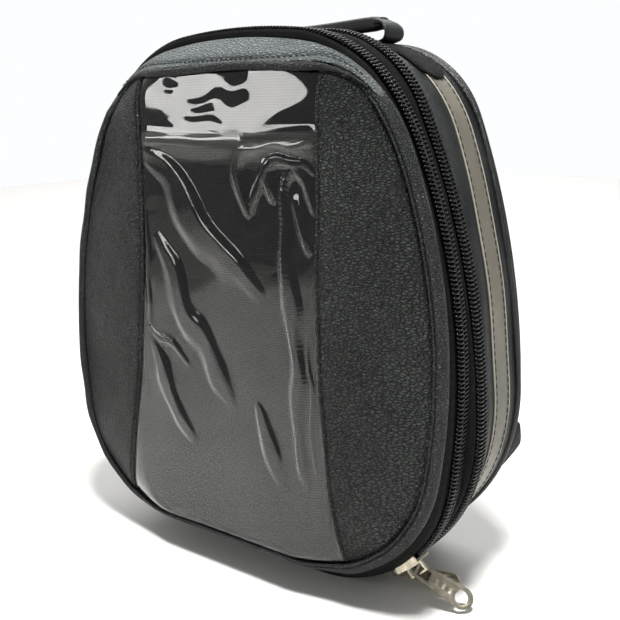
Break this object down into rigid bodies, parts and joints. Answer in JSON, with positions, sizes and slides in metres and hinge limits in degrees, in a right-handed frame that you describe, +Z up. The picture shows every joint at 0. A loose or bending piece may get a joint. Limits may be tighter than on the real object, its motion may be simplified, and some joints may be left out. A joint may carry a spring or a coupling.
{
  "type": "motorcycle tank bag",
  "caption": "Upright soft motorcycle tank bag with a clear map window in its lid, a main zip, an expansion zip, a reflective strip and a top handle.",
  "frame": {"origin": "bottom centre of the bag's box, on the surface it stands on", "axes": "+Z up through the handle, -Y out through the map window, +X to the right seen from the front"},
  "size_m": [0.275, 0.1187, 0.308],
  "materials": {
    "leathercloth": "pebbled imitation leather, charcoal with a green-grey cast",
    "welt_leathercloth": "folded imitation-leather binding and piping",
    "smooth_leathercloth": "smooth dark imitation leather, satin",
    "black_fabric": "matt black woven fabric and foam",
    "lining": "grey nylon lining",
    "zip_tape": "black ribbed zip tape",
    "zip_coil": "glossy black nylon coil",
    "zip_metal": "antique nickel, slightly brassy, worn at the edges",
    "clear_sheet": "clear glossy PVC sheet",
    "hem_tape": "dark hem behind the clear sheet",
    "reflective_tape": "grey-beige retro-reflective tape",
    "mesh": "black padded spacer mesh",
    "webbing": "black polypropylene webbing",
    "board": "polyethylene stiffener"
  },
  "bodies": {
    "bag_body": {"side_wall": "smooth_leathercloth", "reflective_strip": "reflective_tape", "rear_piping": "mesh", "rear_mesh_band": "mesh", "back_mesh": "mesh", "back_foam": "black_fabric", "back_board": "board", "body_lining": "lining", "expansion_coil_back": "zip_coil", "expansion_tape_back": "zip_tape", "handle_patch": "mesh", "expansion_gusset": "black_fabric"},
    "front_section": {"expansion_coil_front": "zip_coil", "expansion_tape_front": "zip_tape", "middle_band": "smooth_leathercloth", "main_coil_body": "zip_coil", "main_tape_body": "zip_tape", "lid_hinge_fabric": "black_fabric"},
    "lid": {"lid_panel_left": "leathercloth", "lid_panel_right": "leathercloth", "lid_top_band": "leathercloth", "top_piping": "welt_leathercloth", "lid_rim_welt": "welt_leathercloth", "lid_gusset": "black_fabric", "window_sheet": "clear_sheet", "window_backing": "black_fabric", "window_hem": "hem_tape", "lid_foam": "black_fabric", "lid_lining": "lining", "main_coil_lid": "zip_coil", "main_tape_lid": "zip_tape"},
    "main_slider": {"main_slider": "zip_metal"},
    "main_pull": {"main_pull": "zip_metal"},
    "expansion_slider": {"expansion_slider": "zip_metal"},
    "expansion_pull": {"expansion_pull": "zip_metal"},
    "handle": {"handle_grip": "smooth_leathercloth", "handle_leg_left": "smooth_leathercloth", "handle_leg_right": "smooth_leathercloth"},
    "strap_tab_right": {"strap_tab_right": "webbing"},
    "strap_tab_left": {"strap_tab_left": "webbing"}
  },
  "joints": [
    {"name": "expansion", "type": "slide", "parent": "bag_body", "child": "front_section", "axis": [0, -1, 0], "range_m": [0, 0.04], "deforming": ["expansion_gusset"]},
    {"name": "lid_open", "type": "hinge", "parent": "front_section", "child": "lid", "pos_m": [0, -0.0278, 0.0049], "axis": [1, 0, 0], "range_deg": [0, 95], "deforming": ["lid_hinge_fabric"]},
    {"name": "main_slider_travel", "type": "hinge", "parent": "front_section", "child": "main_slider", "pos_m": [0.0485, -0.0278, 0.0863], "axis": [0, -1, 0], "range_deg": [0, 28]},
    {"name": "main_pull_swing", "type": "hinge", "parent": "main_slider", "child": "main_pull", "pos_m": [0.10892, -0.0278, 0.0215], "axis": [0.0765, 0.7709, 0.6324], "range_deg": [-40, 0]},
    {"name": "expansion_slider_travel", "type": "hinge", "parent": "bag_body", "child": "expansion_slider", "pos_m": [0.04, -0.0114, 0.0971], "axis": [0, -1, 0], "range_deg": [0, 44]},
    {"name": "expansion_pull_swing", "type": "hinge", "parent": "expansion_slider", "child": "expansion_pull", "pos_m": [0.08872, -0.0114, 0.00737], "axis": [-0.2605, 0.943, 0.2071], "range_deg": [-40, 0]},
    {"name": "handle_lift", "type": "slide", "parent": "bag_body", "child": "handle", "axis": [0, 0, 1], "range_m": [0, 0.012], "deforming": ["handle_leg_left", "handle_leg_right"]},
    {"name": "strap_tab_right_fold", "type": "hinge", "parent": "bag_body", "child": "strap_tab_right", "pos_m": [0.11818, 0.046, 0.056], "axis": [0.3305, 0, 0.9438], "range_deg": [-60, 0]},
    {"name": "strap_tab_left_fold", "type": "hinge", "parent": "bag_body", "child": "strap_tab_left", "pos_m": [-0.11818, 0.046, 0.056], "axis": [-0.3305, 0, 0.9438], "range_deg": [0, 60]}
  ]
}
